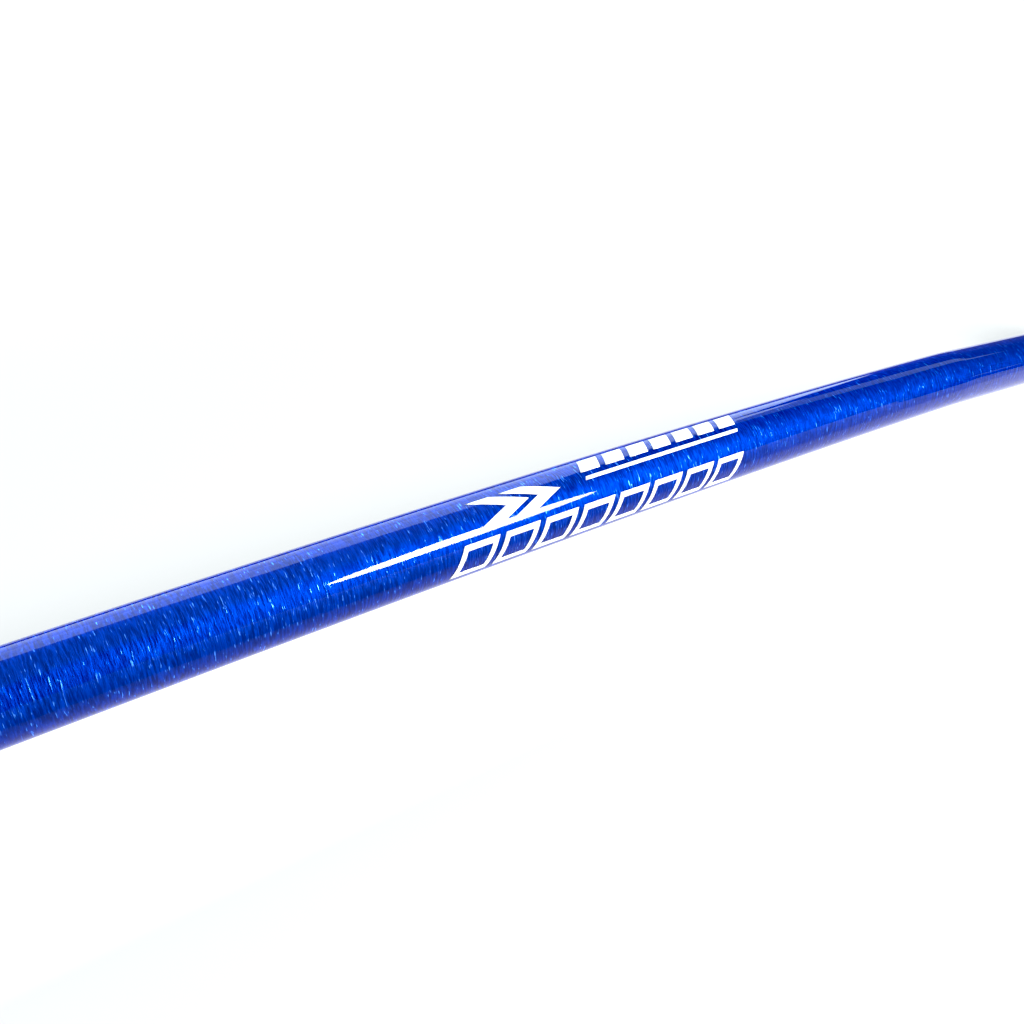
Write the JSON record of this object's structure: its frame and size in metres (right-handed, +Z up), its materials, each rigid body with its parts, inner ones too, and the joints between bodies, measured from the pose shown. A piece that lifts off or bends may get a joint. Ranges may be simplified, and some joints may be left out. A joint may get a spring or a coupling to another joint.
{
  "type": "sway bar",
  "caption": "Vehicle sway bar of bent round steel with forged two-eye ends, split rubber bushes in saddle brackets, lock collars and ball-jointed drop links.",
  "frame": {"origin": "centre of the underside of the bounding box, level with the bracket feet", "axes": "+X along the bar across the vehicle, -Y the way the arms point, +Z up from the bracket feet"},
  "size_m": [1.127, 0.3104, 0.198],
  "materials": {
    "bar_paint": "metallic blue under a glossy clear coat",
    "bush_rubber": "moulded, satin",
    "zinc_plate": "bright zinc plate",
    "collar_aluminium": "turned, clear anodised",
    "black_oxide": "black oxide",
    "link_paint": "satin black electrocoat",
    "stud_steel": "machined, zinc flake coated",
    "seat_plastic": "natural acetal",
    "boot_rubber": "moulded, satin"
  },
  "bodies": {
    "chassis_mounts": {"bracket_left": "zinc_plate", "bracket_right": "zinc_plate", "bush_left": "bush_rubber", "bush_right": "bush_rubber"},
    "sway_bar": {"bar": "bar_paint", "collar_upper_left": "collar_aluminium", "collar_upper_right": "collar_aluminium", "collar_lower_left": "collar_aluminium", "collar_lower_right": "collar_aluminium", "collar_screws_left": "black_oxide", "collar_screws_right": "black_oxide", "lower_stud_left": "stud_steel", "lower_stud_right": "stud_steel", "lower_nut_left": "zinc_plate", "lower_nut_right": "zinc_plate"},
    "lower_clip_left": {"lower_boot_clip_left": "zinc_plate"},
    "link_left": {"link_rod_left": "link_paint", "lower_housing_left": "link_paint", "lower_seat_left": "seat_plastic", "lower_cover_left": "zinc_plate", "lower_boot_left": "boot_rubber", "lower_boot_band_left": "zinc_plate", "upper_housing_left": "link_paint", "upper_seat_left": "seat_plastic", "upper_cover_left": "zinc_plate", "upper_boot_left": "boot_rubber", "upper_boot_band_left": "zinc_plate"},
    "upper_clip_left": {"upper_boot_clip_left": "zinc_plate"},
    "upper_stud_left": {"upper_stud_left": "stud_steel"},
    "lower_clip_right": {"lower_boot_clip_right": "zinc_plate"},
    "link_right": {"link_rod_right": "link_paint", "lower_housing_right": "link_paint", "lower_seat_right": "seat_plastic", "lower_cover_right": "zinc_plate", "lower_boot_right": "boot_rubber", "lower_boot_band_right": "zinc_plate", "upper_housing_right": "link_paint", "upper_seat_right": "seat_plastic", "upper_cover_right": "zinc_plate", "upper_boot_right": "boot_rubber", "upper_boot_band_right": "zinc_plate"},
    "upper_clip_right": {"upper_boot_clip_right": "zinc_plate"},
    "upper_stud_right": {"upper_stud_right": "stud_steel"}
  },
  "joints": [
    {"name": "bar_roll", "type": "hinge", "parent": "chassis_mounts", "child": "sway_bar", "pos_m": [0, 0.10675, 0.022], "axis": [-1, 0, 0], "range_deg": [0, 40]},
    {"name": "link_swing_left", "type": "hinge", "parent": "sway_bar", "child": "lower_clip_left", "pos_m": [-0.5515, -0.13325, 0.022], "axis": [1, 0, 0], "range_deg": [-40, 40]},
    {"name": "link_tilt_left", "type": "hinge", "parent": "lower_clip_left", "child": "link_left", "pos_m": [-0.5515, -0.13325, 0.022], "axis": [0, 1, 0], "range_deg": [-18, 18], "deforming": ["lower_boot_left"]},
    {"name": "upper_stud_tilt_left", "type": "hinge", "parent": "link_left", "child": "upper_clip_left", "pos_m": [-0.5515, -0.13325, 0.182], "axis": [0, 1, 0], "range_deg": [-18, 18], "deforming": ["upper_boot_left"]},
    {"name": "upper_stud_spin_left", "type": "hinge", "parent": "upper_clip_left", "child": "upper_stud_left", "pos_m": [-0.5515, -0.13325, 0.182], "axis": [1, 0, 0], "continuous": true},
    {"name": "link_swing_right", "type": "hinge", "parent": "sway_bar", "child": "lower_clip_right", "pos_m": [0.5515, -0.13325, 0.022], "axis": [1, 0, 0], "range_deg": [-40, 40]},
    {"name": "link_tilt_right", "type": "hinge", "parent": "lower_clip_right", "child": "link_right", "pos_m": [0.5515, -0.13325, 0.022], "axis": [0, 1, 0], "range_deg": [-18, 18], "deforming": ["lower_boot_right"]},
    {"name": "upper_stud_tilt_right", "type": "hinge", "parent": "link_right", "child": "upper_clip_right", "pos_m": [0.5515, -0.13325, 0.182], "axis": [0, 1, 0], "range_deg": [-18, 18], "deforming": ["upper_boot_right"]},
    {"name": "upper_stud_spin_right", "type": "hinge", "parent": "upper_clip_right", "child": "upper_stud_right", "pos_m": [0.5515, -0.13325, 0.182], "axis": [1, 0, 0], "continuous": true}
  ]
}
